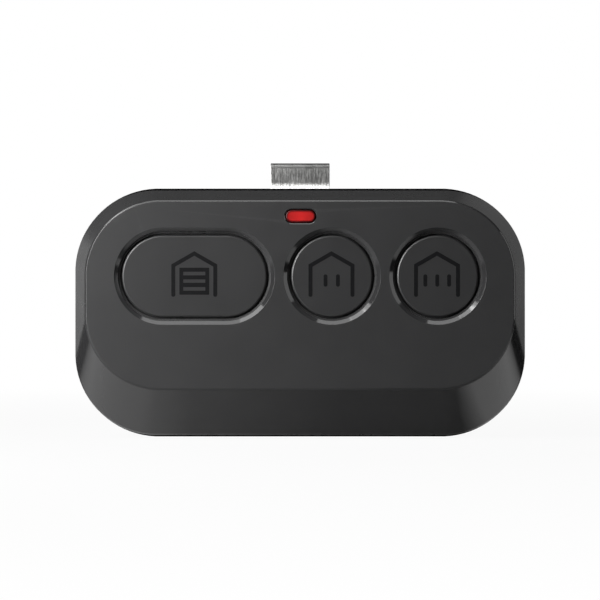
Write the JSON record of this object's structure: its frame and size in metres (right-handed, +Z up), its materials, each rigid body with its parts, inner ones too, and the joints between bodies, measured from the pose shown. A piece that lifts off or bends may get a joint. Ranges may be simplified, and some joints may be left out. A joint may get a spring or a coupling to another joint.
{
  "type": "garage door remote",
  "caption": "Hand remote for a garage door with one wide and two round keys, a red status light and a sprung visor clip on its back.",
  "frame": {"origin": "on the flat back, on the centre line and at half the housing's height, where the clip's grip presses the visor", "axes": "+X to the right when looking at the keys, +Z up towards the clip's loop, the keys face -Y and the clip lies at +Y"},
  "size_m": [0.09, 0.0213, 0.0551],
  "materials": {
    "housing_plastic": "fine matte moulded, dark grey",
    "key_plastic": "fine matte moulded, dark grey",
    "lens_red": "clear red, smooth",
    "clip_steel": "brushed spring steel",
    "board_laminate": "green solder mask",
    "switch_black": "moulded",
    "plunger_plastic": "moulded",
    "contact_metal": "plated",
    "cell_steel": "satin",
    "screw_steel": "zinc plated",
    "chip_black": "moulded epoxy",
    "chip_ceramic": "ceramic bodies",
    "crystal_metal": "plated lid",
    "antenna_copper": "tinned copper strip",
    "led_body": "clear moulded"
  },
  "bodies": {
    "case": {"antenna": "antenna_copper", "battery_strap": "contact_metal", "board_screws": "screw_steel", "chip_parts": "chip_ceramic", "circuit_board": "board_laminate", "coin_cell": "cell_steel", "crystal": "crystal_metal", "front_housing": "housing_plastic", "led_lens": "lens_red", "negative_contact": "contact_metal", "radio_chip": "chip_black", "rear_housing": "housing_plastic", "status_led": "led_body", "switch_base_large": "switch_black", "switch_base_middle": "switch_black", "switch_base_right": "switch_black", "switch_cover_large": "contact_metal", "switch_cover_middle": "contact_metal", "switch_cover_right": "contact_metal", "visor_clip": "clip_steel"},
    "large_key": {"key_large": "key_plastic"},
    "middle_key": {"key_middle": "key_plastic"},
    "right_key": {"key_right": "key_plastic"},
    "large_plunger": {"switch_plunger_large": "plunger_plastic"},
    "middle_plunger": {"switch_plunger_middle": "plunger_plastic"},
    "right_plunger": {"switch_plunger_right": "plunger_plastic"}
  },
  "joints": [
    {"name": "large_key_press", "type": "slide", "parent": "case", "child": "large_key", "axis": [0, 1, 0], "range_m": [0, 0.0004], "stiffness_N_per_m": 1500, "springref_m": -0.0005},
    {"name": "large_plunger_press", "type": "slide", "parent": "case", "child": "large_plunger", "axis": [0, 1, 0], "range_m": [0, 0.0004]},
    {"name": "middle_key_press", "type": "slide", "parent": "case", "child": "middle_key", "axis": [0, 1, 0], "range_m": [0, 0.0004], "stiffness_N_per_m": 1500, "springref_m": -0.0005},
    {"name": "middle_plunger_press", "type": "slide", "parent": "case", "child": "middle_plunger", "axis": [0, 1, 0], "range_m": [0, 0.0004]},
    {"name": "right_key_press", "type": "slide", "parent": "case", "child": "right_key", "axis": [0, 1, 0], "range_m": [0, 0.0004], "stiffness_N_per_m": 1500, "springref_m": -0.0005},
    {"name": "right_plunger_press", "type": "slide", "parent": "case", "child": "right_plunger", "axis": [0, 1, 0], "range_m": [0, 0.0004]}
  ],
  "couplings": [
    {"joint": "large_plunger_press", "follows": "large_key_press", "ratio": 1},
    {"joint": "middle_plunger_press", "follows": "middle_key_press", "ratio": 1},
    {"joint": "right_plunger_press", "follows": "right_key_press", "ratio": 1}
  ]
}
